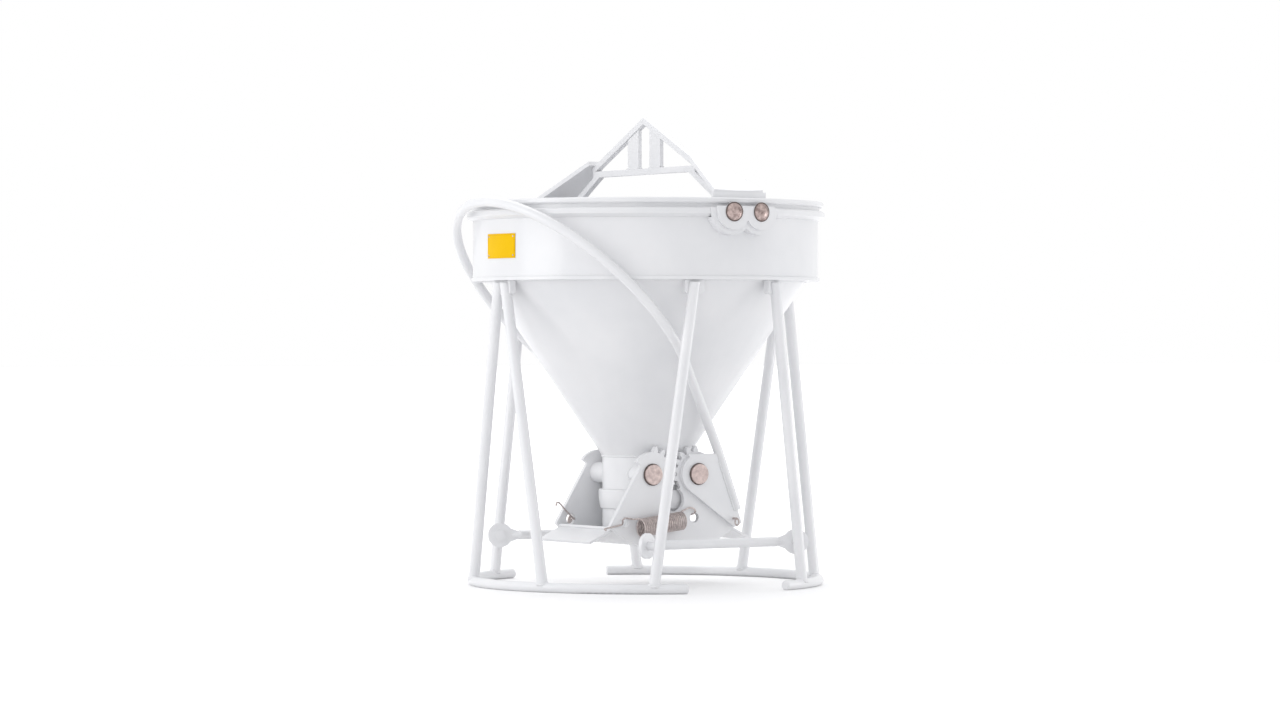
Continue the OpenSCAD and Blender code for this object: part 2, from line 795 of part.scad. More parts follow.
module bail_hook_plates() {
    in = hook_slot / 2;
    out = in + hook_plate_w;
    under = bail_bar / 2 / cos(bail_slope);
    color(paint) for (side = [0, 1]) mirror([0, side, 0]) translate([-hook_plate_t / 2, 0, 0])
        rotate([90, 0, 90]) linear_extrude(hook_plate_t) polygon([
            [in, crossbar_z + bail_bar / 2], [out, crossbar_z + bail_bar / 2],
            [out, bail_mid_z(out) - under], [in, bail_mid_z(in) - under]
        ]);
}

// Foot plate on top of the bail's bar, with a tab down the inside of the band
module bail_foot(front) {
    lift = (bail_bar + foot_t) / 2 + fit;
    foot_run = foot_lap + (band_r - bail_shoulder) / cos(bail_slope);
    turn = asin(foot_low_w / 2 / band_in);
    tab_in = band_in - fit - foot_t;
    tab_top = bail_mid_z(tab_in) + lift / cos(bail_slope);
    tab_low = rim_top - tab_drop;
    color(paint) facing(front) difference() {
        union() {
            intersection() {
                translate([0, -bail_shoulder, bail_mid_z(bail_shoulder)]) rotate([-bail_slope, 0, 180])
                    translate([0, -foot_lap, lift - foot_t / 2]) linear_extrude(foot_t) polygon([
                        [-foot_top_w / 2, 0], [foot_top_w / 2, 0],
                        [foot_low_w / 2, foot_run], [-foot_low_w / 2, foot_run]
                    ]);
                cylinder(r = tab_in + foot_t / 2, h = far);
            }
            rotate([0, 0, 270 - turn]) rotate_extrude(angle = 2 * turn)
                translate([tab_in, tab_low]) square([foot_t, tab_top - tab_low]);
        }
        rivet_holes();
    }
}

// Lugs and data plate
module lobes(r, top) {
    low = rivet_z;
    rotate([90, 0, 0]) linear_extrude(far) difference() {
        union() {
            for (side = [-1, 1]) translate([side * rivet_gap / 2, low]) circle(r = r);
            translate([-rivet_gap / 2 - r, low]) square([rivet_gap + 2 * r, r]);
            translate([-rivet_gap / 2, low - r / 2]) square([rivet_gap, r]);
        }
        translate([-far / 2, top]) square([far, far]);
    }
}

module lug_backing(front) {
    color(paint) facing(front) difference() {
        intersection() {
            lobes(backing_lobe, groove_z);
            ring(band_r + fit, lug_r, 0, far);
        }
        rotate_extrude() polygon([
            [band_r, bead_z - fit], [bead_r + fit, bead_z - fit], [bead_r + fit, rim_top], [band_r, rim_top]
        ]);
        rivet_holes();
    }
}

module lug_plate(front) {
    color(paint) facing(front) difference() {
        intersection() {
            lobes(lug_lobe, groove_z + groove_h / 3);
            ring(lug_r + fit, lug_r + fit + lug_t, 0, far);
        }
        rivet_holes();
    }
}

module lug_rivets() {
    seat = lug_r + 2 * fit + lug_t;
    inner = sqrt(pow(band_in - fit - foot_t, 2) - pow(rivet_inner_d / 2, 2)) - fit;
    shank = seat + rivet_head_h / 2 - inner + rivet_inner_h;
    ball = (pow(rivet_head_d / 2, 2) + pow(rivet_head_h, 2)) / 2 / rivet_head_h;
    color(copper) for (side = [90, 270], turn = [-rivet_turn, rivet_turn])
        rotate([0, 0, side + turn]) translate([0, 0, rivet_z]) rotate([0, 90, 0]) rotate_extrude() {
            translate([0, inner - rivet_inner_h]) square([rivet_inner_d / 2, rivet_inner_h]);
            translate([0, inner - rivet_inner_h]) square([rivet_d / 2, shank]);
            intersection() {
                translate([0, seat + rivet_head_h - ball]) circle(r = ball);
                translate([0, seat]) square([rivet_head_d, rivet_head_h]);
            }
        }
}

module data_plate() {
    span = data_w / band_r * rad;
    color(yellow) rotate([0, 0, 180 + data_turn - span / 2]) rotate_extrude(angle = span)
        translate([band_r + fit, rim_top - data_drop - data_h / 2]) square([data_t, data_h]);
}

band();
rim();
base_ring();
cone();
throat();
throat_collar();
rail(90);  // rail_left
rail(-90);  // rail_right
leg(front_left);  // leg_front_left
leg(front_right);  // leg_front_right
leg(rear_left);  // leg_rear_left
leg(rear_right);  // leg_rear_right
leg(left_front);  // leg_left_front
leg(left_rear);  // leg_left_rear
leg(right_front);  // leg_right_front
leg(right_rear);  // leg_right_rear
leg_sockets();
brace(true);  // brace_front
brace(false);  // brace_rear
brace_studs();
trunnions(false);  // left_trunnions
trunnions(true);  // right_trunnions
pivot_pins(false);  // left_pivot_pins
pivot_pins(true);  // right_pivot_pins
jaw_plate(false, true);  // left_jaw_front_plate
jaw_plate(false, false);  // left_jaw_rear_plate
jaw_shell(false);  // left_jaw_shell
jaw_plate(true, true);  // right_jaw_front_plate
jaw_plate(true, false);  // right_jaw_rear_plate
jaw_shell(true);  // right_jaw_shell
lever_plate(true);  // lever_plate_front
lever_plate(false);  // lever_plate_rear
lever_hoop();
clip_pins();
spring(true);  // spring_front
spring(false);  // spring_rear
bail_frame();
bail_hook_plates();
bail_foot(true);  // bail_foot_front
bail_foot(false);  // bail_foot_rear
lug_backing(true);  // lug_backing_front
lug_backing(false);  // lug_backing_rear
lug_plate(true);  // lug_plate_front
lug_plate(false);  // lug_plate_rear
lug_rivets();
data_plate();
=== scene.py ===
"""Concrete bucket: paint, metals, springs, weld beads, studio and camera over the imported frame. Metres."""
import json
import math

import bpy
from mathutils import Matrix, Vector


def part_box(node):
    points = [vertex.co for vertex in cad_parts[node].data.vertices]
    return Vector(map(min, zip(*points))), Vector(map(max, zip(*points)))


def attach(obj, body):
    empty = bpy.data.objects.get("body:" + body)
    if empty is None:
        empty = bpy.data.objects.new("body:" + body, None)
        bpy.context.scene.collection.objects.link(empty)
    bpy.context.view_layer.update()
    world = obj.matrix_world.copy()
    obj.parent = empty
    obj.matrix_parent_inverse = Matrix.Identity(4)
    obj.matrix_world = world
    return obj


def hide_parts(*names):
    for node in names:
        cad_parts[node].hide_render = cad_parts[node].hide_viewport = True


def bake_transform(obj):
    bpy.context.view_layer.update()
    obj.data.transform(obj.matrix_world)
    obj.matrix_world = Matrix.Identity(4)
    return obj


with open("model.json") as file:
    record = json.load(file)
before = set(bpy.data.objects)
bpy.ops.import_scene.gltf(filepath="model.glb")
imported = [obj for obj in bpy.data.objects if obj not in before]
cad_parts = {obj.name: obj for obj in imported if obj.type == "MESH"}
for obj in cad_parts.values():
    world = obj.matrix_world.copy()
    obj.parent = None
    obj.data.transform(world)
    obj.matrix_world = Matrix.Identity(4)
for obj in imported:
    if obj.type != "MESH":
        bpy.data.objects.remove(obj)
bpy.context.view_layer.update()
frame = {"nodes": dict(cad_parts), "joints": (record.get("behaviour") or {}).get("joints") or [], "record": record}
nodes = frame["nodes"]
pivot = {joint["child"]: Vector(joint["pos_m"]) for joint in frame["joints"]}

# Photograph: 1280 x 720 pixels, the bucket's axis a little right of the middle
PHOTO_WIDTH = 1280
PIXEL = 0.0045
AXIS_OFFSET = 5.5 * PIXEL
VIEW_AZIMUTH = math.radians(-32.7)
VIEW_DISTANCE = 18.85
VIEW_HEIGHT = 1.084
AIM_HEIGHT = 1.008
SENSOR = 36
VIEW_REACH = 400

# Hopper and stand, as in the solids
THROAT_R = 0.194
TRUNNION_R = 0.0475
RAIL_R = 0.779
RAIL_BAR_R = 0.022
LEG_R = 0.024
LEG_TOP_R = 0.752
END_FOOT = 30
END_TOP = 16.2
SIDE_FOOT = 22.3
SIDE_TOP_HALF = 0.028
SIDE_TOP = math.degrees(math.asin(SIDE_TOP_HALF / LEG_TOP_R))
LEG_SINK = 0.001

# Springs: the holes and their plates as in the solids, then wire and wound body
LEFT_HOLE = (-0.262, 0.292)
RIGHT_HOLE = (0.107, 0.305)
LEVER_Y = 0.237
PLATE_T = 0.022
SPRING_Y = 0.2875
SPRING_R = 0.038
WIRE_R = 0.0037
CURLS = 24
CURL_STEPS = 24
BODY_FROM = 0.0502
BODY_LENGTH = 0.225
BODY_RISE = 0.02
BODY_DROP = 0.016
# Points of the hooks from their holes' centres: along, up, and out from the plates' outer faces
FRONT_HOOK = (
    (-0.1, -0.03, 0.005), (-0.107, -0.0225, 0.005), (-0.06, -0.0165, 0.005), (-0.02, -0.0095, 0.005),
    (-0.008, -0.006, -0.006), (-0.004, 0.004, -0.008), (-0.014, 0.01, 0.006), (-0.004, 0.018, 0.009),
    (0.014, 0.0165, 0.011),
)
REAR_HOOK = (
    (-0.085, 0.064, -0.035), (-0.078, 0.078, -0.035), (-0.064, 0.073, -0.035), (-0.033, 0.039, -0.035),
    (0.009, 0, -0.031), (0.018, 0, -0.0165), (0.018, 0, 0.0045), (0.026, 0.003, 0.009),
)
FAR_HOOK = (
    (-0.05, 0.041, 0.0125), (-0.028, 0.046, 0.0125), (-0.008, 0.04, 0.0105), (0.001, 0.027, 0.009),
    (-0.002, 0.018, 0), (-0.006, 0.014, -0.0165), (-0.004, 0.01, -0.031),
)

# Lever plates, from the right pivot, and hook plates, as in the solids
LEVER_CORNER = (0.116, 0.09)
LEVER_TIP = (0.233, -0.223)
LEVER_CREASE = 0.0185
LEVER_WELD = (0.03, 0.265)
HOOK_SLOT = 0.09

# Copper heads and yellow plate, as in the solids, with the plate's border and small rivets
PIN_HEAD_R = 0.045
PIN_HEAD_H = 0.014
RIVET_Z = 1.653
RIVET_SEAT = 0.8262
RIVET_HEAD_R = 0.04
RIVET_HALF = 0.07
RIVET_RING_R = 0.813
RIVET_TURN = math.degrees(math.asin(RIVET_HALF / RIVET_RING_R))
PLATE_FACE_R = 0.7793
PLATE_TURN = 182
PLATE_Z = 1.511
PLATE_W = 0.22
PLATE_H = 0.108
PLATE_EDGE = 0.006
PLATE_BORDER_R = 0.0014
PLATE_RIVET_IN = 0.0125
PLATE_RIVET_R = 0.0045

# Fine detail
BEAD_R = 0.005
BEAD_SWELL = 0.16
RIPPLE = 0.011
RIPPLE_STEPS = 4
EDGE_ROUND = 0.0022
EDGE_ANGLE = math.radians(40)
FLAT_ANGLE = math.radians(0.4)
JOIN = 0.00001
RING_R = 0.0028
RING_LIFT = 0.0005

# Steps and sides of the fine detail
BEAD_SIDES = 8
WIRE_SIDES = 10
SMOOTH_STEPS = 6
CIRCLE_STEPS = 96
LEG_STEPS = 40
TRUNNION_STEPS = 48
RING_STEPS = 64
DOME_SIDES = 20
DOME_RINGS = 5
BORDER_STEPS = 12

# Most of a noise texture lies between these
NOISE_LOW = 0.3
NOISE_HIGH = 0.7

# Studio: the floor's glow where the eye sees it, and the light of the sky
FLOOR_SIZE = 300
FLOOR_NEAR = 1.5
FLOOR_FAR = 7
GLOW_NEAR = 0.14
GLOW_FAR = 0.5
SKY_TINT = (0.975, 0.98, 1.0, 1)
BACK_LIGHT = 1.1
FRONT_LIGHT = 0.9
DIM_AZIMUTH = math.radians(-8)
DIM_FROM = -0.6
DIM_TO = 0.8


class Graph:
    """The node tree of one new material."""

    def __init__(self, name):
        self.material = bpy.data.materials.new(name)
        self.material.use_nodes = True
        self.tree = self.material.node_tree
        self.shader = self.tree.nodes["Principled BSDF"]

    def add(self, kind, inputs=None, **settings):
        """A new node with its settings and its unlinked inputs."""
        made = self.tree.nodes.new(kind)
        for name, value in settings.items():
            setattr(made, name, value)
        for name, value in (inputs or {}).items():
            made.inputs[name].default_value = value
        return made

    def link(self, output, socket):
        self.tree.links.new(output, socket)

    def noise(self, scale, detail, stretch=(1, 1, 1)):
        """Noise in the part's metres: about one blob per 1 / scale metres."""
        place = self.add("ShaderNodeTexCoord")
        mapping = self.add("ShaderNodeMapping", {"Scale": stretch})
        made = self.add("ShaderNodeTexNoise", {"Scale": scale, "Detail": detail})
        self.link(place.outputs["Object"], mapping.inputs["Vector"])
        self.link(mapping.outputs["Vector"], made.inputs["Vector"])
        return made.outputs["Fac"]

    def ramp(self, factor, low, high):
        """Colour that runs from low to high with the factor."""
        made = self.add("ShaderNodeValToRGB")
        made.color_ramp.elements[0].position = NOISE_LOW
        made.color_ramp.elements[0].color = (*low, 1)
        made.color_ramp.elements[1].position = NOISE_HIGH
        made.color_ramp.elements[1].color = (*high, 1)
        self.link(factor, made.inputs["Fac"])
        return made.outputs["Color"]

    def spread(self, factor, low, high):
        """Number that runs from low to high with the factor."""
        limits = {"From Min": NOISE_LOW, "From Max": NOISE_HIGH, "To Min": low, "To Max": high}
        made = self.add("ShaderNodeMapRange", limits)
        self.link(factor, made.inputs["Value"])
        return made.outputs["Result"]

    def bump(self, height, strength, distance):
        made = self.add("ShaderNodeBump", {"Strength": strength, "Distance": distance})
        self.link(height, made.inputs["Height"])
        self.link(made.outputs["Normal"], self.shader.inputs["Normal"])


def enamel(name, dark, light, coat, shine):
    """Sprayed enamel: slow changes of tone, a fine orange peel and a clear coat."""
    graph = Graph(name)
    shader = graph.shader
    graph.link(graph.ramp(graph.noise(3.5, 4), dark, light), shader.inputs["Base Color"])
    graph.link(graph.spread(graph.noise(14, 3), 0.3, 0.42), shader.inputs["Roughness"])
    graph.bump(graph.noise(190, 2), 0.12, 0.0006)
    shader.inputs["Specular IOR Level"].default_value = shine
    shader.inputs["Coat Weight"].default_value = coat
    shader.inputs["Coat Roughness"].default_value = 0.12
    return graph.material


def dull_copper(name, dark, light, dents):
    """Coppery metal with fine scratches, tarnish and small dents."""
    graph = Graph(name)
    shader = graph.shader
    graph.link(graph.ramp(graph.noise(60, 6), dark, light), shader.inputs["Base Color"])
    graph.link(graph.spread(graph.noise(150, 4, (1, 1, 0.12)), 0.3, 0.5), shader.inputs["Roughness"])
    graph.bump(graph.noise(85, 3), dents, 0.004)
    shader.inputs["Metallic"].default_value = 0.9
    return graph.material


def oiled_steel(name, dark, light):
    """Brown spring wire, oily in places."""
    graph = Graph(name)
    shader = graph.shader
    graph.link(graph.ramp(graph.noise(90, 5), dark, light), shader.inputs["Base Color"])
    graph.link(graph.spread(graph.noise(70, 3), 0.28, 0.5), shader.inputs["Roughness"])
    graph.bump(graph.noise(700, 2), 0.15, 0.0003)
    shader.inputs["Metallic"].default_value = 0.8
    return graph.material


white = enamel("white_enamel", dark=(0.76, 0.765, 0.78), light=(0.82, 0.82, 0.83), coat=0.35, shine=0.5)
yellow = enamel("yellow_enamel", dark=(0.82, 0.49, 0.001), light=(0.88, 0.55, 0.002), coat=0, shine=0.06)
copper = dull_copper("copper_heads", dark=(0.43, 0.345, 0.33), light=(0.66, 0.55, 0.52), dents=0.12)
# Rivet copper is a darker copy of the heads' copper: the darker tone is a painted reflection of the rim's dark
# groove, and its mottling stands for tarnish
rivet_copper_painted_reflection = dull_copper("copper_rivets_painted_reflection", dark=(0.22, 0.165, 0.155), light=(0.62, 0.5, 0.47), dents=0.5)
steel = oiled_steel("spring_wire", dark=(0.4, 0.35, 0.34), light=(0.66, 0.58, 0.56))
# Near-black copy of the wire steel for the rings round the copper heads; round the rivets these rings are painted
# shadow
dark_steel_and_painted_shadow = oiled_steel("dark_rings_and_painted_shadow", dark=(0.1, 0.08, 0.075), light=(0.2, 0.165, 0.155))

SLOT_MATERIAL = {"white_paint": white, "data_plate": yellow, "copper": copper, "spring_steel": steel}
NODE_MATERIAL = {"lug_rivets": rivet_copper_painted_reflection}
NODE_ROUND = {"rail_left": 0.009, "rail_right": 0.009, "lug_rivets": 0.001, "data_plate": 0.0008}


def dress(name, slot):
    """Paint a CAD node and round its edges."""
    piece = nodes[name]
    piece.data.materials.clear()
    piece.data.materials.append(NODE_MATERIAL.get(name, SLOT_MATERIAL[slot]))
    piece.data.shade_smooth()
    weld = piece.modifiers.new("join", "WELD")
    weld.merge_threshold = JOIN
    flats = piece.modifiers.new("flats", "DECIMATE")
    flats.decimate_type = "DISSOLVE"
    flats.angle_limit = FLAT_ANGLE
    edges = piece.modifiers.new("edges", "BEVEL")
    edges.width = NODE_ROUND.get(name, EDGE_ROUND)
    edges.segments = 3
    edges.limit_method = "ANGLE"
    edges.angle_limit = EDGE_ANGLE
    edges.harden_normals = False
    piece.modifiers.new("shade", "WEIGHTED_NORMAL").keep_sharp = False


for subpart in frame["record"]["subparts"]:
    dress(subpart["node"], subpart["material_slot"])


def mesh_piece(name, parts, material):
    """One smooth mesh object from (vertices, faces) parts."""
    points, faces = [], []
    for part_points, part_faces in parts:
        faces += [tuple(i + len(points) for i in face) for face in part_faces]
        points += part_points
    mesh = bpy.data.meshes.new(name)
    mesh.from_pydata(points, [], faces)
    mesh.validate()
    mesh.shade_smooth()
    mesh.materials.append(material)
    piece = bpy.data.objects.new(name, mesh)
    bpy.context.scene.collection.objects.link(piece)
    return piece


def tube(path, radii, sides, closed=False):
    """Tube along a path, with one radius for each of its points."""
    count = len(path)
    points, faces = [], []
    normal = None
    for i, at in enumerate(path):
        back = path[i - 1] if closed or i else at
        ahead = path[(i + 1) % count] if closed or i < count - 1 else at
        along = (ahead - back).normalized()
        guess = normal if normal else along.orthogonal()
        normal = (guess - along * guess.dot(along)).normalized()
        side = along.cross(normal)
        for s in range(sides):
            turn = math.tau * s / sides
            points.append(at + (normal * math.cos(turn) + side * math.sin(turn)) * radii[i])
    for i in range(count if closed else count - 1):
        here, there = i * sides, (i + 1) % count * sides
        for s in range(sides):
            t = (s + 1) % sides
            faces.append((here + s, here + t, there + t, there + s))
    if not closed:
        faces.append(tuple(range(sides - 1, -1, -1)))
        faces.append(tuple((count - 1) * sides + s for s in range(sides)))
    return points, faces


def bead(path, closed=True):
    """Weld bead along a path, with the ripples that its runs leave."""
    line = resample(path, RIPPLE / RIPPLE_STEPS, closed)
    radii = [BEAD_R * (1 + BEAD_SWELL * math.sin(math.tau * i / RIPPLE_STEPS)) for i in range(len(line))]
    return tube(line, radii, BEAD_SIDES, closed)


def resample(path, step, closed):
    """Points about one step apart along a path."""
    ends = path + [path[0]] if closed else path
    line = []
    for a, b in zip(ends, ends[1:]):
        pieces = max(1, round((b - a).length / step))
        line += [a.lerp(b, k / pieces) for k in range(pieces)]
    return line if closed else line + [ends[-1]]


def circle(radius, z):
    turns = [math.tau * k / CIRCLE_STEPS for k in range(CIRCLE_STEPS)]
    return [Vector((radius * math.cos(turn), radius * math.sin(turn), z)) for turn in turns]


def polar(radius, degrees, z):
    return Vector((radius * math.cos(math.radians(degrees)), radius * math.sin(math.radians(degrees)), z))


# Springs
def spring_path(front):
    """Hook, wound body and hook of one spring, from the left jaw to the right jaw."""
    start = Vector((LEFT_HOLE[0], 0, LEFT_HOLE[1]))
    run = Vector((RIGHT_HOLE[0], 0, RIGHT_HOLE[1])) - start
    along = run.normalized()
    up = Vector((-along.z, 0, along.x))
    out = Vector((0, -1 if front else 1, 0))
    last = CURLS * CURL_STEPS - CURL_STEPS // 4
    step = BODY_LENGTH / CURLS / CURL_STEPS
    body = []
    for k in range(last + 1):
        turn = math.tau * k / CURL_STEPS
        rise = BODY_RISE * (k / last - 0.5) - BODY_DROP
        height = rise + SPRING_R * math.cos(turn)
        body.append((BODY_FROM + k * step, height, SPRING_Y + SPRING_R * math.sin(turn)))
    wire = 2 * WIRE_R
    top = body[0][1]
    hook = [(x, z, LEVER_Y + y) for x, z, y in (FRONT_HOOK if front else REAR_HOOK)]
    hook.append((BODY_FROM - 2 * wire, top, SPRING_Y - SPRING_R))
    hook.append((BODY_FROM - wire, top, SPRING_Y - SPRING_R / 2))
    far_hook = [(body[-1][0] + wire, body[-1][1] + SPRING_R * 3 / 4, body[-1][2])]
    far_hook += [(run.length + x, z, LEVER_Y + y) for x, z, y in FAR_HOOK]
    quarter = CURL_STEPS // 4
    near_line = smooth(hook + body[:1], hook[0], body[quarter])
    far_line = smooth(body[-1:] + far_hook, body[-quarter], far_hook[-1])
    line = near_line[:-1] + body + far_line[1:]
    return [start + along * x + up * z + out * y for x, z, y in line]


def smooth(points, before, after):
    """Catmull-Rom curve through a few points, with the points that lie before and after it."""
    ends = [Vector(p) for p in (before, *points, after)]
    line = []
    for a, b, c, d in zip(ends, ends[1:], ends[2:], ends[3:]):
        for k in range(SMOOTH_STEPS):
            t = k / SMOOTH_STEPS
            line.append(0.5 * (2 * b + (c - a) * t + (2 * a - 5 * b + 4 * c - d) * t * t
                               + (3 * b - a - 3 * c + d) * t ** 3))
    return [tuple(p) for p in line] + [tuple(points[-1])]


def make_spring(front):
    """Two halves of one spring, split at the middle of its wire."""
    side = "front" if front else "rear"
    path = spring_path(front)
    middle = len(path) // 2
    halves = {"left": path[:middle + 1], "right": path[middle:]}
    for name, line in halves.items():
        coil = tube(line, [WIRE_R] * len(line), WIRE_SIDES)
        piece = mesh_piece(f"spring_{side}_{name}_half", [coil], steel)
        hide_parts(f"spring_{side}")
        if name == "left":
            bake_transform(piece)
        else:
            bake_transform(piece)


for front in (True, False):
    make_spring(front)


# Weld beads
def leg_axes():
    """Foot and top of each leg's centre line."""
    turns = []
    for middle in (90, 270):
        turns += [(middle - END_FOOT, middle - END_TOP), (middle + END_FOOT, middle + END_TOP)]
    for middle in (0, 180):
        turns += [(middle - SIDE_FOOT, middle - SIDE_TOP), (middle + SIDE_FOOT, middle + SIDE_TOP)]
    foot_z = RAIL_BAR_R - LEG_SINK
    top_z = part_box("leg_front_left")[1].z
    return [(polar(RAIL_R, foot, foot_z), polar(LEG_TOP_R, top, top_z)) for foot, top in turns]


def foot_bead(foot, top):
    """Bead round a leg where it sits on its rail."""
    along = (top - foot).normalized()
    side = Vector((-foot.y, foot.x, 0)).normalized()
    across = along.cross(side)
    path = []
    for k in range(LEG_STEPS):
        turn = math.tau * k / LEG_STEPS
        rim = foot + (side * math.cos(turn) + across * math.sin(turn)) * LEG_R
        off = min(abs(math.hypot(rim.x, rim.y) - RAIL_R), 0.85 * RAIL_BAR_R)
        rise = math.sqrt(RAIL_BAR_R ** 2 - off ** 2)
        path.append(rim + along * ((foot.z + rise - rim.z) / along.z))
    return bead(path)


def trunnion_bead(centre, front):
    """Bead round a trunnion where it meets the throat."""
    path = []
    for k in range(TRUNNION_STEPS):
        turn = math.tau * k / TRUNNION_STEPS
        x = centre.x + TRUNNION_R * math.cos(turn)
        y = math.sqrt(THROAT_R ** 2 - x * x)
        path.append(Vector((x, -y if front else y, centre.z + TRUNNION_R * math.sin(turn))))
    return bead(path)


def lever_beads():
    """Beads where the lever hoop's tails lie on the lever plates' edges."""
    edge = Vector((LEVER_TIP[0] - LEVER_CORNER[0], 0, LEVER_TIP[1] - LEVER_CORNER[1])).normalized()
    inwards = Vector((edge.z, 0, -edge.x))
    corner = pivot["right_jaw"] + Vector((LEVER_CORNER[0], 0, LEVER_CORNER[1])) + inwards * LEVER_CREASE
    parts = []
    for y in (LEVER_Y, LEVER_Y + PLATE_T):
        for side in (-1, 1):
            face = Vector((0, side * y, 0))
            ends = [corner + edge * at + face for at in LEVER_WELD]
            parts.append(bead(ends, False))
    return parts


def hook_plate_beads():
    """Beads along the hook plates' feet on the crossbar."""
    low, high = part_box("bail_hook_plates")
    parts = []
    for x in (low.x, high.x):
        for side in (-1, 1):
            ends = [Vector((x, side * y, low.z)) for y in (HOOK_SLOT / 2, high.y)]
            parts.append(bead(ends, False))
    return parts


cone_low, cone_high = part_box("cone")
stand_welds = [foot_bead(foot, top) for foot, top in leg_axes()]
hopper_welds = [bead(circle(cone_high.x, cone_high.z)), bead(circle(THROAT_R, cone_low.z))]
gate_welds = [trunnion_bead(at, front) for at in pivot.values() for front in (True, False)]
fixed_welds = {"stand": stand_welds, "hopper": hopper_welds, "gate": gate_welds, "bail": hook_plate_beads()}
for name, parts in fixed_welds.items():
    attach(mesh_piece(f"welds_{name}", parts, white), "root")
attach(mesh_piece("welds_lever", lever_beads(), white), "right_jaw")


# Dark rings round the copper heads; those round the rivets are painted shadow
def ring(centre, axis, radius):
    """Closed ring about an axis."""
    side = axis.orthogonal().normalized()
    other = axis.cross(side)
    turns = [math.tau * k / RING_STEPS for k in range(RING_STEPS)]
    path = [centre + (side * math.cos(turn) + other * math.sin(turn)) * radius for turn in turns]
    return tube(path, [RING_R] * RING_STEPS, BEAD_SIDES, closed=True)


def pin_rings():
    """Dark rings where the pins' heads sit on the jaw plates."""
    parts = []
    for body, name in (("left_jaw", "left_pivot_pins"), ("right_jaw", "right_pivot_pins")):
        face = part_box(name)[1].y - PIN_HEAD_H + RING_R + RING_LIFT
        for y in (face, -face):
            centre = Vector((pivot[body].x, y, pivot[body].z))
            parts.append(ring(centre, Vector((0, 1, 0)), PIN_HEAD_R + RING_R / 2))
    return parts


def rivet_painted_shadow_rings():
    """Dark rings of painted shadow where the rivets' heads sit on the lugs' outer plates."""
    parts = []
    for middle in (90, 270):
        for turn in (-RIVET_TURN, RIVET_TURN):
            axis = polar(1, middle + turn, 0)
            parts.append(ring(axis * RIVET_SEAT + Vector((0, 0, RIVET_Z)), axis, RIVET_HEAD_R))
    return parts


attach(mesh_piece("pin_rings", pin_rings(), dark_steel_and_painted_shadow), "root")
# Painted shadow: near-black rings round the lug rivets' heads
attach(mesh_piece("rivet_painted_shadow_rings", rivet_painted_shadow_rings(), dark_steel_and_painted_shadow), "root")


# Border and rivets of the yellow plate
def dome(place, axis, radius, height):
    """Low round head on a face."""
    side = axis.orthogonal().normalized()
    other = axis.cross(side)
    points = []
    for k in range(DOME_RINGS):
        lean = math.pi / 2 * k / DOME_RINGS
        for s in range(DOME_SIDES):
            turn = math.tau * s / DOME_SIDES
            flat = (side * math.cos(turn) + other * math.sin(turn)) * radius * math.cos(lean)
            points.append(place + flat + axis * height * math.sin(lean))
    points.append(place + axis * height)
    faces = [tuple(range(DOME_SIDES - 1, -1, -1))]
    for k in range(DOME_RINGS - 1):
        for s in range(DOME_SIDES):
            t = (s + 1) % DOME_SIDES
            low, high = k * DOME_SIDES, (k + 1) * DOME_SIDES
            faces.append((low + s, low + t, high + t, high + s))
    top = (DOME_RINGS - 1) * DOME_SIDES
    faces += [(top + s, top + (s + 1) % DOME_SIDES, len(points) - 1) for s in range(DOME_SIDES)]
    return points, faces


def on_plate(along, up):
    """Point of the yellow plate's face, from its middle, and the face's direction there."""
    turn = PLATE_TURN + math.degrees(along / PLATE_FACE_R)
    return polar(PLATE_FACE_R, turn, PLATE_Z + up), polar(1, turn, 0)


def plate_border():
    half_w = PLATE_W / 2 - PLATE_EDGE
    half_h = PLATE_H / 2 - PLATE_EDGE
    shares = [2 * k / BORDER_STEPS - 1 for k in range(BORDER_STEPS + 1)]
    top = [on_plate(half_w * share, half_h)[0] for share in shares]
    low = [on_plate(-half_w * share, -half_h)[0] for share in shares]
    path = resample(top + low, PLATE_EDGE / 2, True)
    return [tube(path, [PLATE_BORDER_R] * len(path), BEAD_SIDES, closed=True)]


def plate_rivets():
    half_w = PLATE_W / 2 - PLATE_RIVET_IN
    half_h = PLATE_H / 2 - PLATE_RIVET_IN
    parts = []
    for side in (-1, 1):
        for level in (-1, 1):
            place, axis = on_plate(side * half_w, level * half_h)
            parts.append(dome(place, axis, PLATE_RIVET_R, PLATE_RIVET_R / 2))
    return parts


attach(mesh_piece("plate_border", plate_border(), yellow), "root")
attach(mesh_piece("plate_rivets", plate_rivets(), steel), "root")


# Studio
def look(azimuth):
    """Level direction from the bucket towards a camera at this azimuth."""
    return Vector((math.sin(azimuth), -math.cos(azimuth), 0))


def make_camera():
    back = look(VIEW_AZIMUTH)
    right = Vector((-back.y, back.x, 0))
    camera = bpy.data.objects.new("camera", bpy.data.cameras.new("camera"))
    camera.data.sensor_width = SENSOR
    camera.data.lens = VIEW_DISTANCE / PIXEL / PHOTO_WIDTH * SENSOR
    camera.data.clip_end = VIEW_REACH
    camera.location = back * VIEW_DISTANCE + Vector((0, 0, VIEW_HEIGHT))
    aim = right * -AXIS_OFFSET + Vector((0, 0, AIM_HEIGHT)) - camera.location
    camera.rotation_mode = "QUATERNION"
    camera.rotation_quaternion = aim.to_track_quat("-Z", "Y")
    bpy.context.scene.collection.objects.link(camera)
    bpy.context.scene.camera = camera


def seen_by_eye(tree):
    """Socket that is 1 for rays from the camera, also by way of metal or glass."""
    rays = tree.nodes.new("ShaderNodeLightPath")
    socket = rays.outputs["Is Camera Ray"]
    for kind in ("Is Glossy Ray", "Is Transmission Ray"):
        either = tree.nodes.new("ShaderNodeMath")
        either.operation = "MAXIMUM"
        tree.links.new(socket, either.inputs[0])
        tree.links.new(rays.outputs[kind], either.inputs[1])
        socket = either.outputs[0]
    return socket


def make_floor():
    half = FLOOR_SIZE / 2
    corners = [Vector((x, y, 0)) for x, y in ((-half, -half), (half, -half), (half, half), (-half, half))]
    floor = mesh_piece("floor", [(corners, [(0, 1, 2, 3)])], floor_material())


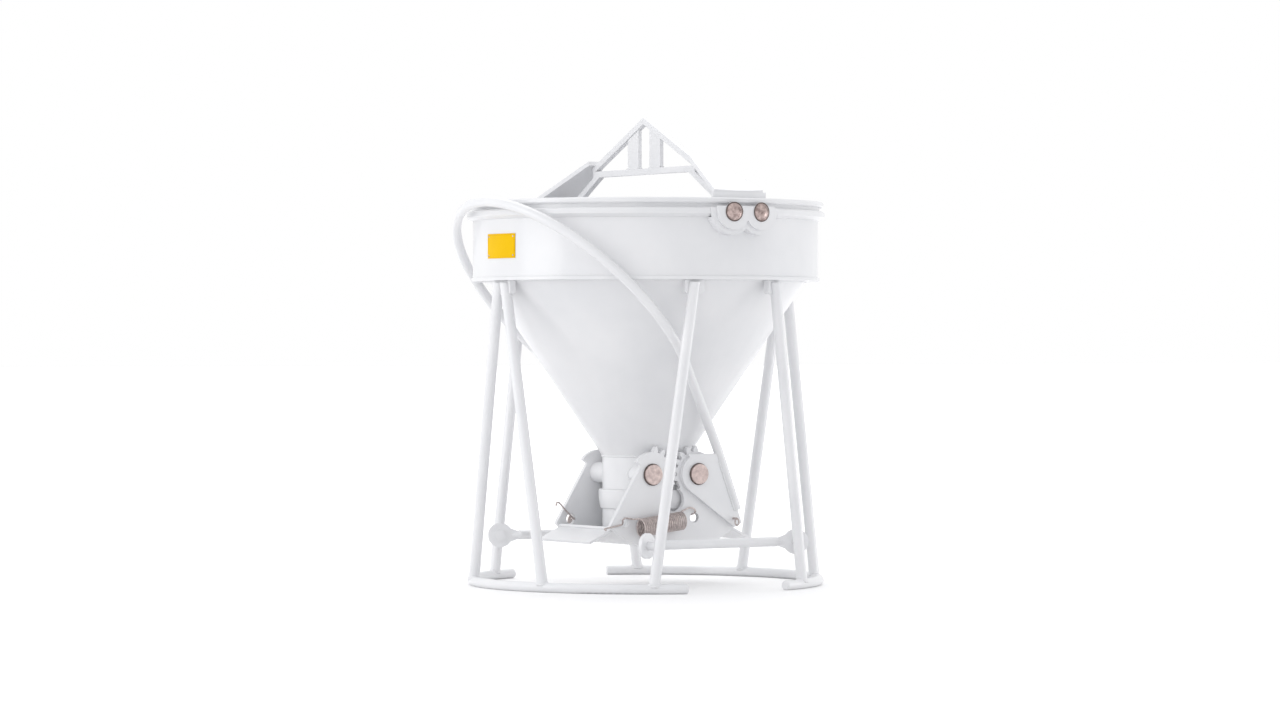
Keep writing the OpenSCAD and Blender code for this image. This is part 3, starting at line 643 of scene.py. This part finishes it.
def floor_material():
    """White floor that keeps the shadows near the bucket and runs into the white background."""
    graph = Graph("floor_white")
    shader = graph.shader
    shader.inputs["Roughness"].default_value = 0.6
    tone = graph.ramp(graph.noise(0.7, 3), (0.82, 0.815, 0.817), (0.84, 0.84, 0.84))
    graph.link(tone, shader.inputs["Base Color"])
    place = graph.add("ShaderNodeTexCoord")
    length = graph.add("ShaderNodeVectorMath", operation="LENGTH")
    graph.link(place.outputs["Object"], length.inputs[0])
    fade = {"From Min": FLOOR_NEAR, "From Max": FLOOR_FAR, "To Min": GLOW_NEAR, "To Max": GLOW_FAR}
    glow = graph.add("ShaderNodeMapRange", fade)
    graph.link(length.outputs["Value"], glow.inputs["Value"])
    lift = graph.add("ShaderNodeMath", operation="MULTIPLY")
    graph.link(seen_by_eye(graph.tree), lift.inputs[0])
    graph.link(glow.outputs["Result"], lift.inputs[1])
    graph.link(lift.outputs[0], shader.inputs["Emission Strength"])
    shader.inputs["Emission Color"].default_value = (1, 1, 1, 1)
    return graph.material


def make_world():
    """Pale studio, brighter behind the bucket than in front, white where the camera sees it."""
    world = bpy.data.worlds.new("studio")
    bpy.context.scene.world = world
    world.use_nodes = True
    tree = world.node_tree
    light = tree.nodes["Background"]
    light.inputs["Color"].default_value = SKY_TINT
    place = tree.nodes.new("ShaderNodeTexCoord")
    facing = tree.nodes.new("ShaderNodeVectorMath")
    facing.operation = "DOT_PRODUCT"
    facing.inputs[1].default_value = -look(DIM_AZIMUTH)
    tree.links.new(place.outputs["Generated"], facing.inputs[0])
    level = tree.nodes.new("ShaderNodeMapRange")
    level.interpolation_type = "SMOOTHSTEP"
    level.inputs["From Min"].default_value = DIM_FROM
    level.inputs["From Max"].default_value = DIM_TO
    level.inputs["To Min"].default_value = FRONT_LIGHT
    level.inputs["To Max"].default_value = BACK_LIGHT
    tree.links.new(facing.outputs["Value"], level.inputs["Value"])
    tree.links.new(level.outputs["Result"], light.inputs["Strength"])
    sight = tree.nodes.new("ShaderNodeBackground")
    sight.inputs["Color"].default_value = (1, 1, 1, 1)
    mix = tree.nodes.new("ShaderNodeMixShader")
    tree.links.new(seen_by_eye(tree), mix.inputs["Fac"])
    tree.links.new(light.outputs[0], mix.inputs[1])
    tree.links.new(sight.outputs[0], mix.inputs[2])
    tree.links.new(mix.outputs[0], tree.nodes["World Output"].inputs["Surface"])


def area_lamp(name, place, size, power, aim_height=1):
    """Soft square lamp aimed at the bucket's axis."""
    lamp = bpy.data.objects.new(name, bpy.data.lights.new(name, "AREA"))
    lamp.data.size = size
    lamp.data.energy = power
    lamp.location = place
    lamp.rotation_mode = "QUATERNION"
    lamp.rotation_quaternion = (Vector((0, 0, aim_height)) - lamp.location).to_track_quat("-Z", "Y")
    bpy.context.scene.collection.objects.link(lamp)


make_camera()
make_floor()
make_world()
area_lamp("top_softbox", Vector((1.5, 2.5, 7)), size=6, power=125)
area_lamp("left_softbox", Vector((-7, 1.5, 3)), size=4, power=104)
area_lamp("right_fill", Vector((3.4, -1.8, 0.5)), size=1.6, power=18, aim_height=0.5)
area_lamp("low_fill", Vector((-2.6, -3.2, 0.3)), size=1.4, power=5, aim_height=0.3)
bpy.context.scene.view_settings.view_transform = "Standard"
